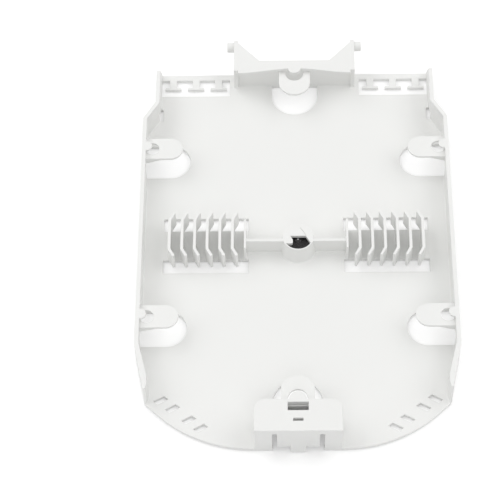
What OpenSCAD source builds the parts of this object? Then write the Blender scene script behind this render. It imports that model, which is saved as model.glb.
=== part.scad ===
// Hinged fibre splice tray: one white moulding with two splice combs, lid tabs,
// a hinge bracket at the rear and a latch block at the front, and the dark
// insert that sits in its centre boss.
// Units are millimetres. +Y runs to the hinge, +Z up, and z = 0 is the underside.

/* [Tray] */
// Width over the side walls
tray_w = 112; // [92:1:140]
// Length of the floor, front edge to rear edge
tray_l = 160.5; // [133:0.5:195]
// Height of the side walls above the underside
wall_h = 12; // [10:0.5:16]
// Thickness of the side walls
wall_t = 1.5; // [1.2:0.1:2]
// Thickness of the floor
floor_t = 1.5; // [1.2:0.1:2]
// Height of the side walls at the rear edge, where their slope ends
rear_end_h = 2; // [1.9:0.1:5]

/* [Outline] */
// How much the neck is narrower than the tray, on each side
neck_inset = 4.4; // [3:0.1:6]
// Length of the neck, forward from the rear edge
neck_l = 20.5; // [18:0.5:25]
// Length of the slanted step between neck and tray
jog_l = 7.5; // [5:0.5:10]
// Length over which the side walls draw in at the front
taper_l = 18; // [12:0.5:24]
// How much the side walls draw in at the front, on each side
taper_in = 3.6; // [2:0.1:6]
// Length of the open nose, from the ends of the walls to the front edge
nose_l = 17.6; // [15.5:0.1:22]
// Half of the front edge, to where the slanted edges would meet it
nose_half = 34; // [28:0.5:40]
// Radius between the front edge and the slanted edges
nose_r = 47; // [30:1:60]

/* [Splice combs] */
// Bent fins in each comb
fin_count = 6; // [4:1:6]
// Spacing of the fins
fin_pitch = 4.5; // [3.6:0.1:4.6]
// Thickness of a fin
fin_t = 1; // [0.8:0.1:1.3]
// Height of a fin above the floor
fin_h = 7.6; // [6:0.1:9]
// Length of a fin's straight middle
fin_run = 12.4; // [10:0.2:18]
// Length of each bent end, along the tray
fin_bend = 3.1; // [2.5:0.1:4]
// Sideways offset of each bent end
fin_kick = 1.7; // [1:0.1:2.2]
// Length of the opening below each row of bent ends
comb_open_l = 5.4; // [4.6:0.1:7]
// Fibre lane between a side wall and the outermost fin
lane_w = 9.3; // [7:0.1:12]

/* [Centre boss] */
// Sideways offset of the boss
boss_x = 0.7; // [0:0.1:1]
// Bore of the boss, from below
boss_bore_d = 10.3; // [9:0.1:11]
// Wall of the boss at its foot
boss_wall = 1.6; // [1.2:0.1:2]
// Height of the boss above the underside
boss_h = 8.5; // [7:0.1:10]
// Thickness of the web across its top
boss_web = 1.4; // [1:0.1:2]
// Thickness of the rib between the combs
rib_t = 1.2; // [1:0.1:1.6]
// Gap between the insert and the bore
insert_gap = 0.1; // [0.05:0.05:0.3]

/* [Lid tabs] */
// Height of the tabs' upper face above the underside
tab_z = 10; // [8:0.1:10.4]
// Thickness of a tab
tab_t = 1; // [0.8:0.1:1.4]
// Radius of a side tab's round end
tab_r = 4.6; // [4:0.1:5.2]
// Reach of a side tab from the wall
tab_reach = 13.4; // [11:0.1:15]
// Gap around a tab to the edge of the floor opening below it
tab_gap = 2.6; // [1.5:0.1:3.5]
// Diameter of the round hole in a side tab
tab_hole_d = 4.9; // [4:0.1:5.4]
// Radius of a snap nub
nub_r = 2; // [1.6:0.1:2.3]
// Height of a snap nub
nub_h = 1.1; // [0.8:0.1:1.6]

/* [Tie anchors] */
// T-shaped anchors in each rear window
tie_count = 3; // [2:1:4]
// Length of a window, along the tray
tie_win_l = 7.5; // [6.5:0.1:8.5]
// Width of the floor strip behind the windows
rear_strip = 2.5; // [2:0.1:3.5]
// Width of an anchor's stem
tie_stem = 2.7; // [2:0.1:3]
// Gap between neighbouring anchors' heads
tie_gap = 2.4; // [1.8:0.1:3]

/* [Hinge] */
// Width over the hinge cheeks
hinge_w = 45.4; // [42:0.2:50]
// Reach of the hinge arms behind the rear edge
hinge_reach = 9.5; // [8:0.5:13]
// Thickness of the cheeks
cheek_t = 1.6; // [1.2:0.1:2]
// Diameter of a hinge peg
peg_d = 3.7; // [3:0.1:4.4]
// Length of a hinge peg
peg_l = 2.6; // [1.8:0.1:4]
// Radius of the arm's round end about the peg
arm_r = 2.6; // [2.5:0.1:3.2]
// Depth of the bracket in front of the rear edge
bracket_l = 6.3; // [5.5:0.1:7.5]

/* [Latch block] */
// Width of the block
block_w = 29.6; // [26:0.2:34]
// Depth of the block
block_l = 12.2; // [11:0.1:15]
// Height of the block above the underside
block_h = 14; // [12.5:0.1:16]
// Width of the spring flap
flap_w = 14.4; // [12:0.1:16]
// Width of the slots beside the flap
flap_slot = 1.6; // [1.2:0.1:2]
// How far the catch stands out at the front
catch_out = 0.8; // [0.5:0.1:1.5]
// Radius of the end tabs at the block and at the bracket
end_tab_r = 5.8; // [5:0.1:6.5]

/* [Corner slots] */
// Length of a slot
slot_l = 4.1; // [3:0.1:4.4]
// Width of a slot, along its row
slot_w = 1.9; // [1.4:0.1:2.4]

/* [Hidden] */
$fn = 72;
eps = 0.02;

// Ends of the floor, with the origin in the middle of the overall length
all_l = catch_out + tray_l + hinge_reach;
y_front = catch_out - all_l / 2;
y_rear = y_front + tray_l;
y_tip = all_l / 2;

// Outline stations along the right-hand side
half_w = tray_w / 2;
neck_x = half_w - neck_inset;
mouth_x = half_w - taper_in;
y_neck = y_rear - neck_l;
y_wide = y_neck - jog_l;
y_mouth = y_front + nose_l;
y_taper = y_mouth + taper_l;
in_x = half_w - wall_t;
neck_in_x = neck_x - wall_t;

// Side tabs sit this far inside the ends of the wide stretch
tab_rear_y = y_wide - 12.8;
tab_front_y = y_taper + 11.9;
tab_c = in_x - tab_reach + tab_r;
cut_r = tab_r + tab_gap;

// Combs, a little in front of the middle between the tabs
comb_y = (tab_rear_y + tab_front_y) / 2 - 1.15;
comb_out_x = in_x - lane_w;
comb_in_x = comb_out_x - fin_count * fin_pitch;
comb_top = floor_t + fin_h;
comb_side = 2.4;
comb_over = 1.1;
end_plate_t = 0.8;

// Rib and boss, in front of the comb's middle
rib_y = comb_y - 2.5;
rib_h = boss_h;
boss_y = comb_y - 1.2;
boss_r = boss_bore_d / 2;
boss_rim = 0.4;

// End tabs: centre of the rear one and of the front one
cut_end_r = end_tab_r + tab_gap + 0.2;
y_bracket = y_rear - bracket_l;
hook_y = y_bracket - 4.1;
y_block = y_front + block_l;
front_tab_y = y_block + 5.6;
notch_r = 3.3;

// Tie windows, from the neck wall to just outside the cheeks
tie_in_x = hinge_w / 2 + 1.7;
tie_y1 = y_rear - rear_strip;
tie_pitch = (neck_in_x - tie_in_x) / tie_count;
tie_bar_y = tie_y1 - 3.4;
tie_bar = 1;

// Hinge pegs
peg_y = y_tip - arm_r;
peg_z = wall_h - arm_r;
deck_t = 1.5;
deck_rear_y = y_rear - 1.5;
arm_root = 13.1;

// Points of an arc of radius r that rounds the corner b between a and c
function unit(v) = v / norm(v);
function round_corner(a, b, c, r, n = 10) =
    let (u = unit(a - b), v = unit(c - b),
         half = acos(u * v) / 2,
         t = min(r / tan(half), 0.98 * min(norm(a - b), norm(c - b))),
         rr = t * tan(half),
         m = b + unit(u + v) * rr / sin(half),
         s = b + u * t - m,
         turn = (u[0] * v[1] - u[1] * v[0] > 0 ? -1 : 1) * (180 - 2 * half))
    [for (i = [0 : n])
        let (k = turn * i / n)
        m + [s[0] * cos(k) - s[1] * sin(k), s[0] * sin(k) + s[1] * cos(k)]];

// Offset of an open path to its right by d, with mitred corners
function side(a, b) = let (u = unit(b - a)) [u[1], -u[0]];
function offset_path(p, d) =
    [for (i = [0 : len(p) - 1])
        let (m = i == 0 ? side(p[0], p[1]) : side(p[i - 1], p[i]),
             n = i == len(p) - 1 ? m : side(p[i], p[i + 1]),
             b = unit(m + n))
        p[i] + b * d / (b * m)];
function reverse(p) = [for (i = [len(p) - 1 : -1 : 0]) p[i]];
function flip(p) = [for (i = [len(p) - 1 : -1 : 0]) [-p[i][0], p[i][1]]];

// Outer line of the right side wall, from the rear to the mouth
wall_line = [
    [neck_x, y_rear], [neck_x, y_neck], [half_w, y_wide],
    [half_w, y_taper], [mouth_x, y_mouth]];
// Slanted front edge of the floor, rounded into the flat front
nose_line = round_corner([mouth_x, y_mouth], [nose_half, y_front],
                         [0, y_front], nose_r);
half_outline = concat(wall_line, nose_line);

module strip(path, t) {
    polygon(concat(offset_path(path, t / 2), reverse(offset_path(path, -t / 2))));
}

module both_sides() {
    children();
    mirror([1, 0, 0]) children();
}

module both_rows() {
    for (y = [tab_rear_y, tab_front_y])
        translate([0, y, 0]) children();
}

// A plate with one round end towards -X: radius r about x = 0, out to x = to
module tongue(r, to, z0, z1) {
    translate([0, 0, z0]) cylinder(r = r, h = z1 - z0);
    translate([0, -r, z0]) cube([to, 2 * r, z1 - z0]);
}

module floor_plate() {
    linear_extrude(floor_t) polygon(concat(half_outline, flip(half_outline)));
}

// Side wall with its rear end sloped down to the floor, and its inner face drawn in a
// little and chamfered at the mouth
module side_wall() {
    lip = 1.1;
    inner = offset_path(wall_line, wall_t);
    inner_line = concat([for (i = [0 : 3]) inner[i]],
        [[mouth_x - lip, y_mouth + 5.2], [mouth_x - lip, y_mouth + 1.6],
         [mouth_x - 0.6, y_mouth]]);
    difference() {
        linear_extrude(wall_h) polygon(concat(wall_line, reverse(inner_line)));
        rear_slope();
        jog_hole();
        both_rows() wall_pocket();
    }
}

module rear_slope() {
    slope_l = 5.9;
    translate([neck_x - 2 * wall_t, 0, 0]) rotate([90, 0, 90])
        linear_extrude(3 * wall_t)
            polygon([[y_rear - slope_l, wall_h + eps], [y_rear + 1, wall_h + eps],
                     [y_rear + 1, rear_end_h], [y_rear, rear_end_h]]);
}

// Window behind the coil area, crossed by T-shaped cable-tie anchors
module tie_window() {
    translate([tie_in_x, tie_y1 - tie_win_l, -1])
        cube([neck_in_x - tie_in_x, tie_win_l, floor_t + 2]);
}

module tie_anchors() {
    for (i = [0 : tie_count - 1]) {
        x = tie_in_x + (i + 0.5) * tie_pitch;
        translate([x - tie_stem / 2, tie_bar_y, 0])
            cube([tie_stem, tie_y1 - tie_bar_y + eps, floor_t]);
        translate([x - (tie_pitch - tie_gap) / 2, tie_bar_y - tie_bar, 0])
            cube([tie_pitch - tie_gap, tie_bar + eps, floor_t]);
    }
}

// Small hole at the foot of the step in the side wall, cut partly into the wall
module jog_hole() {
    hole = [0.8, 0.9];
    translate([neck_in_x - hole[0], y_neck - 1.1, -1])
        cube([hole[0] + hole[1], 5.2, floor_t + 4.5]);
}

module side_tab() {
    hole_x = in_x - tab_hole_d / 2 + 0.15;
    difference() {
        translate([tab_c, 0, 0]) tongue(tab_r, in_x - tab_c + eps, tab_z - tab_t, tab_z);
        translate([hole_x, 0, tab_z - tab_t - 1]) cylinder(d = tab_hole_d, h = tab_t + 2);
    }
    for (s = [-1, 1]) tab_gusset(s);
    snap_nub();
}

module tab_gusset(s) {
    gusset = [5.5, 2];
    gusset_t = 1;
    translate([0, s * (tab_r - gusset_t / 2) + gusset_t / 2, tab_z - tab_t])
        rotate([90, 0, 0]) linear_extrude(gusset_t)
            polygon([[in_x + eps, eps], [in_x + eps, -gusset[1]],
                     [in_x, -gusset[1]], [in_x - gusset[0], 0], [in_x - gusset[0], eps]]);
}

module snap_nub() {
    intersection() {
        translate([in_x - 0.2, 0, wall_h - nub_h]) cylinder(r = nub_r, h = nub_h);
        translate([in_x - nub_r - 1, -nub_r, 0]) cube([nub_r + 1 + eps, 2 * nub_r, wall_h]);
    }
}

module side_cut() {
    translate([tab_c, 0, 0]) tongue(cut_r, in_x - tab_c, -1, floor_t + 1);
    wall_pocket();
}

// Pocket in the inner face of the wall below a snap nub, where the wall springs
module wall_pocket() {
    left_t = 0.6;
    top_z = 7;
    translate([in_x - eps, -cut_r, -1]) cube([wall_t - left_t + eps, 2 * cut_r, top_z + 1]);
}

// One comb: bent fins on the base strip, and the straight end plate
module comb() {
    kick = -fin_kick;
    reach = fin_run / 2 + fin_bend;
    translate([0, comb_y, floor_t]) linear_extrude(fin_h) {
        for (i = [0 : fin_count - 1])
            translate([comb_out_x - i * fin_pitch, 0])
                strip([[kick, -reach], [0, -fin_run / 2], [0, fin_run / 2], [kick, reach]],
                      fin_t);
        strip([[comb_in_x, -fin_run / 2], [comb_in_x, fin_run / 2]], end_plate_t);
    }
}

module comb_openings() {
    w = comb_out_x - comb_in_x + comb_side + comb_over;
    for (s = [-1, 1])
        translate([comb_in_x - comb_over, comb_y - comb_open_l / 2
                   + s * (fin_run + comb_open_l) / 2, -1])
            cube([w, comb_open_l, floor_t + 2]);
}

// Rib with a low step along the front of its foot
module rib() {
    step = [0.5, 0.6];
    translate([-comb_in_x, rib_y - rib_t / 2, floor_t - eps])
        cube([2 * comb_in_x, rib_t, rib_h - floor_t + eps]);
    translate([-comb_in_x, rib_y - rib_t / 2 - step[0], floor_t - eps])
        cube([2 * comb_in_x, step[0] + eps, step[1] + eps]);
}

// Cone-sided boss, open from below, with a part-moon opening in its top web
module boss() {
    score = 0.3;
    difference() {
        translate([boss_x, boss_y, 0])
            cylinder(r1 = boss_r + boss_wall, r2 = boss_r + boss_rim, h = boss_h);
        boss_bore(boss_h - boss_web);
        translate([boss_x, boss_y, boss_h - boss_web - 1]) linear_extrude(boss_web + 2)
            intersection() {
                circle(r = boss_r);
                polygon([for (p = moon) p * boss_r]);
            }
        translate([boss_x + 0.14 * boss_r, boss_y + 0.74 * boss_r, boss_h - score])
            rotate([0, 0, -59.5]) cube([0.8 * boss_r, score, 1]);
    }
}

// Straight edges of the opening, as shares of the bore's radius
moon = [[-1.2, -0.54], [-0.44, -0.54], [-0.37, -0.48], [-0.37, -0.24], [-0.54, 0.08],
        [0.53, 0.08], [1.1, -0.92], [0, -1.3], [-1.2, -0.92]];

module boss_bore(h) {
    translate([boss_x, boss_y, -1]) cylinder(r = boss_r, h = h + 1);
}

// Cheeks, deck and arms that carry the hinge pegs
module hinge_bracket() {
    both_sides() {
        cheek();
        translate([hinge_w / 2 - eps, peg_y, peg_z]) rotate([0, 90, 0])
            cylinder(d = peg_d, h = peg_l + eps);
        deck();
    }
    translate([(cheek_t - hinge_w) / 2, y_bracket + bracket_set, 0])
        cube([hinge_w - cheek_t, deck_t, wall_h]);
    translate([0, hook_nub_y, wall_h - deck_t]) cylinder(r = nub_r + 0.35, h = deck_t);
}

// The bracket's front wall stands back from the cheeks' front ends
bracket_set = 0.95;
hook_nub_y = y_bracket + 1.1;

module cheek() {
    translate([hinge_w / 2 - cheek_t, 0, 0]) rotate([90, 0, 90]) {
        linear_extrude(cheek_t)
            polygon([[y_bracket, 0], [y_rear, 0], [peg_y, peg_z - arm_r],
                     [peg_y, wall_h], [y_bracket, wall_h]]);
        translate([peg_y, peg_z, 0]) cylinder(r = arm_r, h = cheek_t);
    }
}

// Right half of the deck: a waved front edge that stands out beside the cheek, and
// an arm along the cheek
module deck() {
    edge_x = hinge_w / 2;
    in_edge_x = edge_x - cheek_t;
    wave = 2.1;
    n = 10;
    waved = [for (i = [0 : n]) let (t = i / n)
        [in_edge_x * t, y_bracket + 0.9 - wave * (1 - cos(180 * t)) / 2]];
    translate([0, 0, wall_h - deck_t]) linear_extrude(deck_t)
        polygon(concat(waved, [[in_edge_x, y_bracket], [edge_x, y_bracket], [edge_x, peg_y],
                               [in_edge_x - 0.3, peg_y], [arm_root, deck_rear_y],
                               [0, deck_rear_y]]));
}

// End tab with a round end and a round-ended notch, seen from the piece that holds it
module end_tab(to, notch_at) {
    difference() {
        tongue(end_tab_r, to, tab_z - tab_t, tab_z);
        translate([notch_at, 0, 0]) tongue(notch_r, to, 0, wall_h);
    }
}

module end_cut(to) {
    tongue(cut_end_r, to, -1, floor_t + 1);
}

module hook_tab() {
    translate([0, hook_y, 0]) rotate([0, 0, 90])
        end_tab(y_bracket + bracket_set - hook_y + eps, 4.1);
}

module front_tab() {
    translate([0, front_tab_y, 0]) rotate([0, 0, -90])
        end_tab(front_tab_y - y_block + eps, 3);
}

// Hollow block with a spring flap in its front face
module latch_block() {
    corner = 3.5;
    half = block_w / 2;
    plan = concat([[-half, y_front], [half, y_front]],
        round_corner([half, y_front], [half, y_block], [0, y_block], corner, 8),
        round_corner([0, y_block], [-half, y_block], [-half, y_front], corner, 8));
    difference() {
        linear_extrude(block_h) polygon(plan);
        translate([-half + wall_t, y_front + wall_t, -1])
            cube([block_w - 2 * wall_t, block_l - 2 * wall_t, block_h - wall_t + 1]);
        flap_cut();
        block_windows();
    }
    catch();
    front_nub();
}

// Round nub on the block's rear edge, over the notch in the front tab
module front_nub() {
    r = nub_r + 1;
    intersection() {
        translate([0, y_block, wall_h - nub_h])
            cylinder(r = r, h = block_h - wall_h + nub_h);
        translate([-r, y_block - wall_t / 2, 0]) cube([2 * r, r + wall_t, block_h]);
    }
}

// Slots beside the flap and the gap below it
module flap_cut() {
    slot_top = block_h - 2.5;
    gap_z = 2.6;
    for (s = [-1, 1])
        translate([s * (flap_w + flap_slot) / 2, y_front - 1, 0]) rotate([-90, 0, 0]) {
            translate([0, -slot_top + flap_slot / 2, 0])
                cylinder(d = flap_slot, h = wall_t + 1 + eps);
            translate([-flap_slot / 2, -slot_top + flap_slot / 2, 0])
                cube([flap_slot, slot_top, wall_t + 1 + eps]);
        }
    translate([-flap_w / 2 - flap_slot / 2, y_front - 1, -1])
        cube([flap_w + flap_slot, wall_t + 1 + eps, gap_z + 1]);
}

module block_windows() {
    window = [7, 3.1];
    release = [3.4, 1.1];
    translate([-window[0] / 2, y_block - 1.2 - window[1], block_h - wall_t - 1])
        cube([window[0], window[1], wall_t + 2]);
    translate([-release[0] / 2, y_front + 3.85, block_h - wall_t - 1])
        cube([release[0], release[1], wall_t + 2]);
}

// Catch at the foot of the flap: a wedge that stands out at the front
module catch() {
    w = 5.4;
    top = 6;
    translate([-w / 2, 0, 0]) rotate([90, 0, 90]) linear_extrude(w)
        polygon([[y_front + wall_t, 0.3], [y_front + wall_t, top], [y_front, top],
                 [y_front - catch_out, 1.4], [y_front - catch_out, 0.3]]);
}

// Opening through the floor below the front tab and the block, a little wider where
// the flap's slots stand over it
module front_cut() {
    under = flap_w / 2 + flap_slot + 0.6;
    translate([0, front_tab_y, 0]) rotate([0, 0, -90])
        end_cut(front_tab_y - y_front + 1);
    translate([-under, y_front + wall_t, -1])
        cube([2 * under, block_l - 2 * wall_t, floor_t + 2]);
}

module hook_cut() {
    translate([0, hook_y, 0]) rotate([0, 0, 90]) end_cut(y_bracket + bracket_set - hook_y);
}

// Slanted fibre-tie slots along the front corner
module corner_slots() {
    row = [0, 5.2, 12.4, 17.6];
    row_angle = -141.8;
    long_angle = 29;
    a = slot_l / 2 * [-cos(long_angle), sin(long_angle)];
    b = slot_w / 2 * [cos(row_angle), sin(row_angle)];
    for (d = row)
        translate([mouth_x - 5.5 + d * cos(row_angle), y_mouth + 1.4 + d * sin(row_angle), -1])
            linear_extrude(floor_t + 2) polygon([-a - b, a - b, a + b, b - a]);
}

module tray() {
    color("whitesmoke") {
        difference() {
            floor_plate();
            both_sides() {
                tie_window();
                jog_hole();
                both_rows() side_cut();
                comb_openings();
                corner_slots();
            }
            hook_cut();
            front_cut();
            boss_bore(boss_h - boss_web);
        }
        both_sides() {
            side_wall();
            tie_anchors();
            both_rows() side_tab();
            comb();
        }
        difference() {
            rib();
            boss_bore(boss_h);
        }
        boss();
        hinge_bracket();
        hook_tab();
        front_tab();
        latch_block();
    }
}

// Dark plug pushed into the boss from below, up against the web
module centre_insert() {
    seat_z = boss_h - boss_web;
    foot_z = 0.3;
    socket_d = 6.4;
    socket_depth = 1.2;
    color("#1c1c1e") translate([boss_x, boss_y, 0]) difference() {
        translate([0, 0, foot_z])
            cylinder(r = boss_r - insert_gap, h = seat_z - foot_z);
        translate([0, 0, seat_z - socket_depth]) cylinder(d = socket_d, h = socket_depth + 1);
    }
}

tray();
centre_insert();
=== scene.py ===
"""Looks of the hinged fibre splice tray: the white moulding with softened edges
and filleted feet, the dark plug in its centre boss, the floor, light and camera."""

import math

import bmesh
import bpy
import numpy as np
from mathutils import Matrix, Vector
from mathutils.bvhtree import BVHTree


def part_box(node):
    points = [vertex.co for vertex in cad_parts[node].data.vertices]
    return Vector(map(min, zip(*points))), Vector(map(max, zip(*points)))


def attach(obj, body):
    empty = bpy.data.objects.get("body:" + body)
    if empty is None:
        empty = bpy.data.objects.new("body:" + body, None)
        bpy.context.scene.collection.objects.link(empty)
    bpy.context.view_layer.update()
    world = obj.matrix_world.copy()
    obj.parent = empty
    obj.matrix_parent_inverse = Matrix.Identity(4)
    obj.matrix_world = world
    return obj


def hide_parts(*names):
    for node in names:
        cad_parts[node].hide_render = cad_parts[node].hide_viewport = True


MM = 0.001
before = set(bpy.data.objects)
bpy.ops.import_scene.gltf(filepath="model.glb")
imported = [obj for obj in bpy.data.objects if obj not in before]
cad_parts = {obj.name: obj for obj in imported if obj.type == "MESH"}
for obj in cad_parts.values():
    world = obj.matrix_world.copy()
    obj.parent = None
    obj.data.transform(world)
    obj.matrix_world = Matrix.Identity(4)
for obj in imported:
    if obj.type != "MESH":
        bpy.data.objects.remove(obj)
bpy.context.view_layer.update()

# ---------------------------------------------------------------- sizes, in millimetres
MERGE = 0.03            # CAD corners nearer than this are one corner
SLIVER = 0.002          # edges shorter than this are closed up
FLOOR_T = 1.5           # height of the tray's floor
RIM_RADIUS = 0.2        # rounding of the moulding's outer edges
FOOT_RADIUS = 0.5       # fillet where a wall, fin or boss meets the floor

FLAT_TURN = math.radians(1)     # faces that turn less than this are one flat area
EDGE_TURN = math.radians(28)    # faces that turn more than this meet in an edge
PLUG_EDGE_TURN = math.radians(35)
ROUNDING_TRIES = 4
STRAY_SHARE = 0.45      # of the radius: how far a rounded face may lie from the sharp shape
TURNED_OVER = -0.2      # a face is turned over when its normals' product is below this
LEAST_AREA = 1e-4       # of a face that counts, in square millimetres

PLUG_SOCKET_R = 3.2
PLUG_SOCKET_DEPTH = 0.7
PLUG_SOCKET_RIM = 0.2   # chamfer round the socket's mouth
PLUG_SOCKET_FOOT = 0.15     # chamfer round the socket's floor
PLUG_CHAMFER = 0.35
PLUG_GLINT_R = 0.35      # radius of the painted glint: a pale patch painted in the middle of the plug's stub as its highlight
# The stub in the socket: radius and height above the socket's floor
PLUG_STUB = [(1.5, 0), (1.2, 0.35), (0.9, 0.5), (PLUG_GLINT_R, 0.54), (0, 0.55)]

# The studio floor as the camera sees it, its own shading and its even glow, and the
# paper as it lights the tray
SEEN_SHADE, SEEN_GLOW = 0.8, 0.3
PAPER_SHADE = 0.93

# ---------------------------------------------------------------- studio, in metres and watts
STUDIO_HALF = 3.0
STUDIO_DROP = 0.0002    # gap between the tray's underside and the studio floor
WORLD_LIGHT = 0.5
LAMP_SIDE = 1
LAMPS = [("top_lamp", (0, 0, 1.5), 0.9),
         ("front_lamp", (0, -1.1, 1.1), 3.4),
         ("left_lamp", (-1.1, 0, 1.1), 3.5),
         ("right_lamp", (1.1, 0, 1.1), 4.4),
         ("rear_left_lamp", (-0.8, 0.8, 1.1), 4.8),
         ("rear_right_lamp", (0.8, 0.8, 1.1), 3.1)]


# ---------------------------------------------------------------- node helpers
def link(tree, source, target):
    """A link from an output socket to an input socket."""
    tree.links.new(source, target)


def add_node(tree, kind, values=None, **settings):
    """A shader node with its settings and its unlinked input values."""
    node = tree.nodes.new(kind)
    for name, value in settings.items():
        setattr(node, name, value)
    for name, value in (values or {}).items():
        node.inputs[name].default_value = value
    return node


def new_group(name, inputs, outputs):
    """An empty node group with named float, colour or vector sockets."""
    kinds = {"f": "NodeSocketFloat", "c": "NodeSocketColor", "v": "NodeSocketVector"}
    group = bpy.data.node_groups.new(name, "ShaderNodeTree")
    for direction, sockets in (("INPUT", inputs), ("OUTPUT", outputs)):
        for socket_name, kind, *start in sockets:
            made = group.interface.new_socket(
                socket_name, in_out=direction, socket_type=kinds[kind])
            if start:
                made.default_value = start[0]
    return (group, group.nodes.new("NodeGroupInput").outputs,
            group.nodes.new("NodeGroupOutput").inputs)


def mould_grain_group():
    """Spark-eroded mould grain: fine noise over a slow swell, as one height, and a
    roughness that follows the fine noise."""
    group, given, made = new_group(
        "mould_grain",
        [("Place", "v"), ("Grain per metre", "f", 2600.0), ("Swell per metre", "f", 60.0),
         ("Swell share", "f", 0.5), ("Roughness", "f", 0.45), ("Spread", "f", 0.1)],
        [("Height", "f"), ("Roughness", "f")])
    fine = add_node(group, "ShaderNodeTexNoise", {"Detail": 3.0, "Roughness": 0.6})
    slow = add_node(group, "ShaderNodeTexNoise", {"Detail": 1.0, "Roughness": 0.4})
    link(group, given["Place"], fine.inputs["Vector"])
    link(group, given["Place"], slow.inputs["Vector"])
    link(group, given["Grain per metre"], fine.inputs["Scale"])
    link(group, given["Swell per metre"], slow.inputs["Scale"])
    height = add_node(group, "ShaderNodeMath", operation="MULTIPLY_ADD")
    link(group, slow.outputs["Fac"], height.inputs[0])
    link(group, given["Swell share"], height.inputs[1])
    link(group, fine.outputs["Fac"], height.inputs[2])
    link(group, height.outputs[0], made["Height"])
    centred = add_node(group, "ShaderNodeMath", {1: 0.5}, operation="SUBTRACT")
    link(group, fine.outputs["Fac"], centred.inputs[0])
    rough = add_node(group, "ShaderNodeMath", operation="MULTIPLY_ADD", use_clamp=True)
    link(group, centred.outputs[0], rough.inputs[0])
    link(group, given["Spread"], rough.inputs[1])
    link(group, given["Roughness"], rough.inputs[2])
    link(group, rough.outputs[0], made["Roughness"])
    return group


def batch_tint_group():
    """Slow drift between a plastic's colour and its darker or warmer neighbour."""
    group, given, made = new_group(
        "batch_tint",
        [("Place", "v"), ("Colour", "c"), ("Neighbour", "c"), ("Patches per metre", "f", 25.0)],
        [("Colour", "c")])
    drift = add_node(group, "ShaderNodeTexNoise", {"Detail": 2.0, "Roughness": 0.5})
    link(group, given["Place"], drift.inputs["Vector"])
    link(group, given["Patches per metre"], drift.inputs["Scale"])
    mix = add_node(group, "ShaderNodeMix", data_type="RGBA")
    link(group, drift.outputs["Fac"], mix.inputs["Factor"])
    link(group, given["Colour"], mix.inputs[6])
    link(group, given["Neighbour"], mix.inputs[7])
    link(group, mix.outputs[2], made["Colour"])
    return group


def rim_wear_and_highlight_group():
    """Handling polish with a painted highlight: where the mask is set, broken up by noise, the
    colour lifts towards a lighter colour that is partly wear and partly painted highlight, and
    the roughness falls."""
    group, given, made = new_group(
        "rim_wear_and_highlight",
        [("Place", "v"), ("Mask", "f"), ("Colour", "c"), ("Worn and highlight colour", "c"),
         ("Roughness", "f", 0.45), ("Polish", "f", 0.12), ("Breaks per metre", "f", 180.0)],
        [("Colour", "c"), ("Roughness", "f")])
    breaks = add_node(group, "ShaderNodeTexNoise", {"Detail": 2.0, "Roughness": 0.6})
    link(group, given["Place"], breaks.inputs["Vector"])
    link(group, given["Breaks per metre"], breaks.inputs["Scale"])
    worn_and_highlight = add_node(group, "ShaderNodeMath", operation="MULTIPLY", use_clamp=True)
    link(group, breaks.outputs["Fac"], worn_and_highlight.inputs[0])
    link(group, given["Mask"], worn_and_highlight.inputs[1])
    mix = add_node(group, "ShaderNodeMix", data_type="RGBA")
    link(group, worn_and_highlight.outputs[0], mix.inputs["Factor"])
    link(group, given["Colour"], mix.inputs[6])
    link(group, given["Worn and highlight colour"], mix.inputs[7])
    link(group, mix.outputs[2], made["Colour"])
    drop = add_node(group, "ShaderNodeMath", operation="MULTIPLY")
    link(group, worn_and_highlight.outputs[0], drop.inputs[0])
    link(group, given["Polish"], drop.inputs[1])
    rough = add_node(group, "ShaderNodeMath", operation="SUBTRACT", use_clamp=True)
    link(group, given["Roughness"], rough.inputs[0])
    link(group, drop.outputs[0], rough.inputs[1])
    link(group, rough.outputs[0], made["Roughness"])
    return group


MOULD_GRAIN = mould_grain_group()
BATCH_TINT = batch_tint_group()
RIM_WEAR_AND_HIGHLIGHT = rim_wear_and_highlight_group()


def place_group(tree, group, place, values):
    """A node group in a material, fed with the place and its own values."""
    node = add_node(tree, "ShaderNodeGroup", node_tree=group)
    link(tree, place, node.inputs["Place"])
    for name, value in values.items():
        node.inputs[name].default_value = value
    return node


def plastic(name, colour, neighbour, worn_and_highlight, grain, wear, bump, shader_values):
    """A moulded plastic: drifting tint, worn rims with a painted highlight, grain in roughness
    and height.
    """
    material = bpy.data.materials.new(name)
    material.use_nodes = True
    tree = material.node_tree
    shader = tree.nodes["Principled BSDF"]
    place = add_node(tree, "ShaderNodeTexCoord").outputs["Object"]
    tint = place_group(tree, BATCH_TINT, place, {"Colour": colour, "Neighbour": neighbour})
    grained = place_group(tree, MOULD_GRAIN, place, grain)
    rim_wear_and_highlight_node = place_group(tree, RIM_WEAR_AND_HIGHLIGHT, place, {"Worn and highlight colour": worn_and_highlight, **wear})
    rim = add_node(tree, "ShaderNodeAttribute", attribute_name="rim")
    link(tree, rim.outputs["Fac"], rim_wear_and_highlight_node.inputs["Mask"])
    link(tree, tint.outputs["Colour"], rim_wear_and_highlight_node.inputs["Colour"])
    link(tree, grained.outputs["Roughness"], rim_wear_and_highlight_node.inputs["Roughness"])
    link(tree, rim_wear_and_highlight_node.outputs["Colour"], shader.inputs["Base Color"])
    link(tree, rim_wear_and_highlight_node.outputs["Roughness"], shader.inputs["Roughness"])
    relief = add_node(tree, "ShaderNodeBump", bump)
    link(tree, grained.outputs["Height"], relief.inputs["Height"])
    link(tree, relief.outputs["Normal"], shader.inputs["Normal"])
    for socket, value in shader_values.items():
        shader.inputs[socket].default_value = value
    return material


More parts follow.
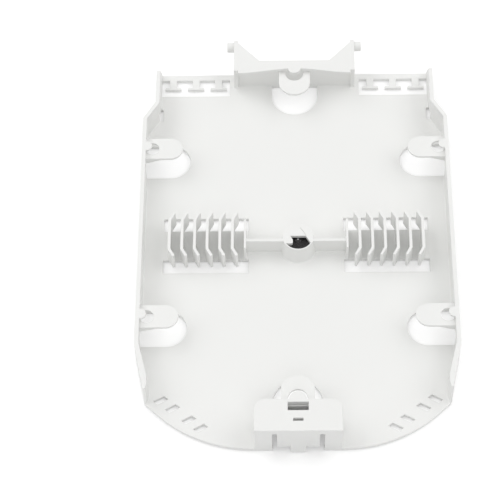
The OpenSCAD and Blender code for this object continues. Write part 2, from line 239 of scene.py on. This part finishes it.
white_plastic = plastic(
    "white_moulded_plastic",
    colour=(0.865, 0.865, 0.85, 1), neighbour=(0.845, 0.85, 0.835, 1),
    # rims lighter than the body: partly wear, partly painted highlight
    worn_and_highlight=(0.9, 0.9, 0.89, 1),
    grain={"Grain per metre": 2400.0, "Swell per metre": 45.0, "Swell share": 0.6,
           "Roughness": 0.46, "Spread": 0.12},
    wear={"Polish": 0.14},
    bump={"Strength": 0.12, "Distance": 0.00004},
    shader_values={"IOR": 1.49, "Specular IOR Level": 0.45})
black_plastic = plastic(
    "black_glossy_plastic",
    colour=(0.021, 0.019, 0.019, 1), neighbour=(0.027, 0.025, 0.025, 1),
    # pale colour of the painted glint in the middle of the plug's stub, a highlight painted
    # into the colour
    worn_and_highlight=(0.75, 0.75, 0.76, 1),
    grain={"Grain per metre": 1800.0, "Swell per metre": 160.0, "Swell share": 0.8,
           "Roughness": 0.26, "Spread": 0.16},
    wear={"Polish": 0.08, "Breaks per metre": 500.0},
    bump={"Strength": 0.2, "Distance": 0.00005},
    shader_values={"IOR": 1.5, "Specular IOR Level": 0.38})


# ---------------------------------------------------------------- the white moulding
def merged_copy(node):
    """The CAD node's triangles with their corners merged and flat areas joined."""
    body = bmesh.new()
    body.from_mesh(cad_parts[node].data)
    bmesh.ops.remove_doubles(body, verts=body.verts, dist=MERGE * MM)
    bmesh.ops.dissolve_degenerate(body, dist=SLIVER * MM, edges=body.edges)
    bmesh.ops.dissolve_limit(body, angle_limit=FLAT_TURN,
                             verts=body.verts, edges=body.edges)
    return body


def spoiled_places(body, untouched, radius):
    """Where rounding turned a face over, drove two faces through each other, or took
    a face further from the sharp shape than a round of that radius lies."""
    check = body.copy()
    bmesh.ops.triangulate(check, faces=check.faces)
    check.normal_update()
    check.faces.ensure_lookup_table()
    places = []
    for face in check.faces:
        middle = face.calc_center_median()
        _, normal, _, away = untouched.find_nearest(middle)
        spoiled = normal.dot(face.normal) < TURNED_OVER or away > STRAY_SHARE * radius
        if spoiled and face.calc_area() > LEAST_AREA * MM * MM:
            places.extend([middle] + [v.co.copy() for v in face.verts])
    for a, b in BVHTree.FromBMesh(check).overlap(BVHTree.FromBMesh(check)):
        first, second = check.faces[a].verts[:], check.faces[b].verts[:]
        if a < b and not set(first) & set(second):
            pairs = [((p.co - q.co).length, (p.co + q.co) / 2)
                     for p in first for q in second]
            places.append(min(pairs, key=lambda pair: pair[0])[1])
    check.free()
    return places


def round_edges(body, sign, radius, segments, mark, reach, wanted):
    """Rounds the wanted convex (sign 1) or concave (sign -1) edges of a closed shape, and
    marks the new faces. Edges within reach of a spoiled place are left as they are, and
    the rounding is done again."""
    untouched = BVHTree.FromBMesh(body)
    left_alone = set()
    for turn in range(ROUNDING_TRIES):
        trial = body.copy()
        trial.edges.ensure_lookup_table()
        marks = trial.faces.layers.float.get(mark) or trial.faces.layers.float.new(mark)
        chosen = [e for e in trial.edges if e.index not in left_alone and e.is_manifold
                  and sign * e.calc_face_angle_signed(0) > EDGE_TURN and wanted(e)]
        ends = np.array([[tuple(v.co) for v in e.verts] for e in chosen])
        index = np.array([e.index for e in chosen])
        made = bmesh.ops.bevel(trial, geom=chosen, offset=radius * MM,
                               offset_type="OFFSET", segments=segments, profile=0.5,
                               affect="EDGES", clamp_overlap=False, loop_slide=True)
        for face in made["faces"]:
            face[marks] = 1.0
        trial.normal_update()
        places = spoiled_places(trial, untouched, radius * MM)
        if not places or turn == ROUNDING_TRIES - 1:
            return trial
        along = ends[:, 1] - ends[:, 0]
        length2 = (along ** 2).sum(1) + 1e-18
        for place in np.array([tuple(p) for p in places]):
            share = np.clip(((place - ends[:, 0]) * along).sum(1) / length2, 0, 1)
            near = np.linalg.norm(ends[:, 0] + share[:, None] * along - place, axis=1)
            left_alone |= set(index[near < reach * MM].tolist())
        trial.free()


def on_the_floor(edge):
    """Whether an edge lies in the floor's upper face."""
    return all(abs(v.co.z - FLOOR_T * MM) < 1e-5 for v in edge.verts)


def softened(node, name, rim_radius, foot_radius):
    """A copy of a CAD node with filleted feet and rounded rims, shaded smooth, that
    stands for the node."""
    sharp = merged_copy(node)
    footed = round_edges(sharp, -1, foot_radius, 3, "foot", 1.2 * foot_radius, on_the_floor)
    rounded = round_edges(footed, 1, rim_radius, 2, "rim", 1.25 * rim_radius, lambda e: True)
    bmesh.ops.remove_doubles(rounded, verts=rounded.verts, dist=SLIVER * MM)
    bmesh.ops.dissolve_degenerate(rounded, dist=SLIVER * MM, edges=rounded.edges)
    bmesh.ops.remove_doubles(rounded, verts=rounded.verts, dist=SLIVER * MM)
    for edge in rounded.edges:
        edge.smooth = not (edge.is_manifold and edge.calc_face_angle(0) > EDGE_TURN)
    for face in rounded.faces:
        face.smooth = True
    mesh = bpy.data.meshes.new(name)
    rounded.to_mesh(mesh)
    for body in (sharp, footed, rounded):
        body.free()
    piece = bpy.data.objects.new(name, mesh)
    bpy.context.scene.collection.objects.link(piece)
    weighted = piece.modifiers.new("flat_faces_stay_flat", "WEIGHTED_NORMAL")
    weighted.keep_sharp = True
    weighted.weight = 100
    return piece


tray_moulding = softened("tray", "tray_moulding", RIM_RADIUS, FOOT_RADIUS)
tray_moulding.data.materials.append(white_plastic)
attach(tray_moulding, "root")
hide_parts("tray")


# ---------------------------------------------------------------- the centre plug
def turned(name, centre, profile, sides=96):
    """A turned piece: the profile's radius and height, carried round a vertical axis.
    Point (i, j) is centre + (r_i cos a_j, r_i sin a_j, z_i). The ends are on the axis."""
    radius, height = np.array(profile).T * MM
    angle = np.arange(sides) * 2 * math.pi / sides
    ring_r, ring_z = radius[1:-1], height[1:-1]
    rings = np.stack([ring_r[:, None] * np.cos(angle) + centre[0],
                      ring_r[:, None] * np.sin(angle) + centre[1],
                      np.repeat(ring_z[:, None], sides, 1)], -1).reshape(-1, 3)
    poles = np.array([[centre[0], centre[1], height[0]], [centre[0], centre[1], height[-1]]])
    count = len(ring_r)
    i, j = np.meshgrid(np.arange(count - 1), np.arange(sides), indexing="ij")
    k = (j + 1) % sides
    quads = np.stack([i * sides + j, i * sides + k, (i + 1) * sides + k,
                      (i + 1) * sides + j], -1).reshape(-1, 4)
    first, last = count * sides, count * sides + 1
    around = np.arange(sides)
    after = (around + 1) % sides
    bottom = np.stack([np.full(sides, first), after, around], -1)
    top = (count - 1) * sides + np.stack([around, after, np.zeros(sides, int)], -1)
    top[:, 2] = last
    mesh = bpy.data.meshes.new(name)
    mesh.from_pydata(np.concatenate([rings, poles]).tolist(), [],
                     quads.tolist() + bottom.tolist() + top.tolist())
    mesh.shade_smooth()
    mesh.set_sharp_from_angle(angle=PLUG_EDGE_TURN)
    piece = bpy.data.objects.new(name, mesh)
    bpy.context.scene.collection.objects.link(piece)
    return piece


low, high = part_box("centre_insert")
plug_centre = ((low.x + high.x) / 2, (low.y + high.y) / 2)
plug_r = (high.x - low.x) / 2 / MM
plug_foot, plug_top = low.z / MM, high.z / MM
socket_floor = plug_top - PLUG_SOCKET_DEPTH
plug_profile = [
    (0, plug_foot), (plug_r - PLUG_CHAMFER, plug_foot), (plug_r, plug_foot + PLUG_CHAMFER),
    (plug_r, plug_top - PLUG_CHAMFER), (plug_r - PLUG_CHAMFER, plug_top),
    (PLUG_SOCKET_R + PLUG_SOCKET_RIM, plug_top), (PLUG_SOCKET_R, plug_top - PLUG_SOCKET_RIM),
    (PLUG_SOCKET_R, socket_floor + PLUG_SOCKET_FOOT),
    (PLUG_SOCKET_R - PLUG_SOCKET_FOOT, socket_floor)]
plug_profile += [(radius, socket_floor + height) for radius, height in PLUG_STUB]
centre_plug = turned("centre_plug", plug_centre, plug_profile)
# Painted glint: the faces in the middle of the stub's top take the pale colour, a highlight
# painted on the black plastic
painted_glint_mask = centre_plug.data.attributes.new("rim", "FLOAT", "FACE")
painted_glint_mask.data.foreach_set("value", [
    float(face.center.z > socket_floor * MM
          and math.dist(face.center[:2], plug_centre) < PLUG_GLINT_R * MM)
    for face in centre_plug.data.polygons])
centre_plug.data.materials.append(black_plastic)
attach(centre_plug, "root")
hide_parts("centre_insert")


# ---------------------------------------------------------------- floor, light, camera
def studio_floor():
    """A wide plain pale floor just under the tray. Where the camera sees it, it glows
    evenly towards white, and it keeps a soft shadow."""
    mesh = bpy.data.meshes.new("studio_floor")
    corners = [(-1, -1), (1, -1), (1, 1), (-1, 1)]
    mesh.from_pydata([(x * STUDIO_HALF, y * STUDIO_HALF, -STUDIO_DROP) for x, y in corners],
                     [], [(0, 1, 2, 3)])
    floor = bpy.data.objects.new("studio_floor", mesh)
    bpy.context.scene.collection.objects.link(floor)
    material = bpy.data.materials.new("studio_paper")
    material.use_nodes = True
    tree = material.node_tree
    shader = tree.nodes["Principled BSDF"]
    place = add_node(tree, "ShaderNodeTexCoord").outputs["Object"]
    paper = place_group(tree, MOULD_GRAIN, place, {
        "Grain per metre": 900.0, "Swell per metre": 8.0, "Roughness": 0.8, "Spread": 0.1})
    link(tree, paper.outputs["Roughness"], shader.inputs["Roughness"])
    shader.inputs["Specular IOR Level"].default_value = 0.1
    shader.inputs["Base Color"].default_value = (PAPER_SHADE,) * 3 + (1,)

    diffuse = add_node(tree, "ShaderNodeBsdfDiffuse", {"Color": (SEEN_SHADE,) * 3 + (1,)})
    glow = add_node(tree, "ShaderNodeEmission", {"Color": (SEEN_GLOW,) * 3 + (1,)})
    seen_shader = add_node(tree, "ShaderNodeAddShader")
    link(tree, diffuse.outputs[0], seen_shader.inputs[0])
    link(tree, glow.outputs[0], seen_shader.inputs[1])

    seen = add_node(tree, "ShaderNodeLightPath").outputs
    looked_at = seen["Is Camera Ray"]
    for ray in ("Is Glossy Ray", "Is Transmission Ray"):
        either = add_node(tree, "ShaderNodeMath", operation="MAXIMUM")
        link(tree, looked_at, either.inputs[0])
        link(tree, seen[ray], either.inputs[1])
        looked_at = either.outputs[0]
    mix = add_node(tree, "ShaderNodeMixShader")
    link(tree, looked_at, mix.inputs[0])
    link(tree, shader.outputs[0], mix.inputs[1])
    link(tree, seen_shader.outputs[0], mix.inputs[2])
    link(tree, mix.outputs[0], tree.nodes["Material Output"].inputs["Surface"])
    mesh.materials.append(material)


def studio_world(strength):
    """Even pale light from all round, seen as plain white."""
    world = bpy.data.worlds.new("studio_world")
    world.use_nodes = True
    bpy.context.scene.world = world
    tree = world.node_tree
    light = tree.nodes["Background"]
    light.inputs["Color"].default_value = (1, 1, 1, 1)
    light.inputs["Strength"].default_value = strength
    white = add_node(tree, "ShaderNodeBackground", {"Color": (1, 1, 1, 1), "Strength": 1.0})
    seen = add_node(tree, "ShaderNodeLightPath").outputs
    mix = add_node(tree, "ShaderNodeMixShader")
    link(tree, seen["Is Camera Ray"], mix.inputs[0])
    link(tree, light.outputs[0], mix.inputs[1])
    link(tree, white.outputs[0], mix.inputs[2])
    link(tree, mix.outputs[0], tree.nodes["World Output"].inputs["Surface"])


def soft_lamp(name, place, power):
    """A square area lamp at a place, turned towards the tray."""
    lamp = bpy.data.lights.new(name, "AREA")
    lamp.size = LAMP_SIDE
    lamp.energy = power
    holder = bpy.data.objects.new(name, lamp)
    holder.location = place
    holder.rotation_euler = (-Vector(place)).to_track_quat("-Z", "Y").to_euler()
    bpy.context.scene.collection.objects.link(holder)


def product_camera(target, distance, azimuth, elevation, roll, lens):
    """A camera at a distance from its target, seen from an azimuth off the tray's front
    and an elevation, turned about its own axis by the roll."""
    az, el, ro = (math.radians(a) for a in (azimuth, elevation, roll))
    ahead = Vector((math.sin(az) * math.cos(el), math.cos(az) * math.cos(el), -math.sin(el)))
    level = ahead.cross(Vector((0, 0, 1))).normalized()
    upright = level.cross(ahead)
    right = level * math.cos(ro) + upright * math.sin(ro)
    up = upright * math.cos(ro) - level * math.sin(ro)
    camera = bpy.data.objects.new("camera", bpy.data.cameras.new("camera"))
    camera.data.sensor_width = 36
    camera.data.lens = lens
    camera.data.clip_start = 0.01
    camera.data.clip_end = 20
    turn = Matrix((right, up, -ahead)).transposed()
    camera.matrix_world = Matrix.Translation(Vector(target) - ahead * distance) @ turn.to_4x4()
    bpy.context.scene.collection.objects.link(camera)
    bpy.context.scene.camera = camera


studio_floor()
studio_world(WORLD_LIGHT)
for lamp_name, lamp_place, lamp_power in LAMPS:
    soft_lamp(lamp_name, lamp_place, lamp_power)
product_camera(target=(-0.0202, 0.00117, 0), distance=0.732,
               azimuth=-2.31, elevation=56, roll=-2.38, lens=152.2)
bpy.context.scene.view_settings.view_transform = "Standard"
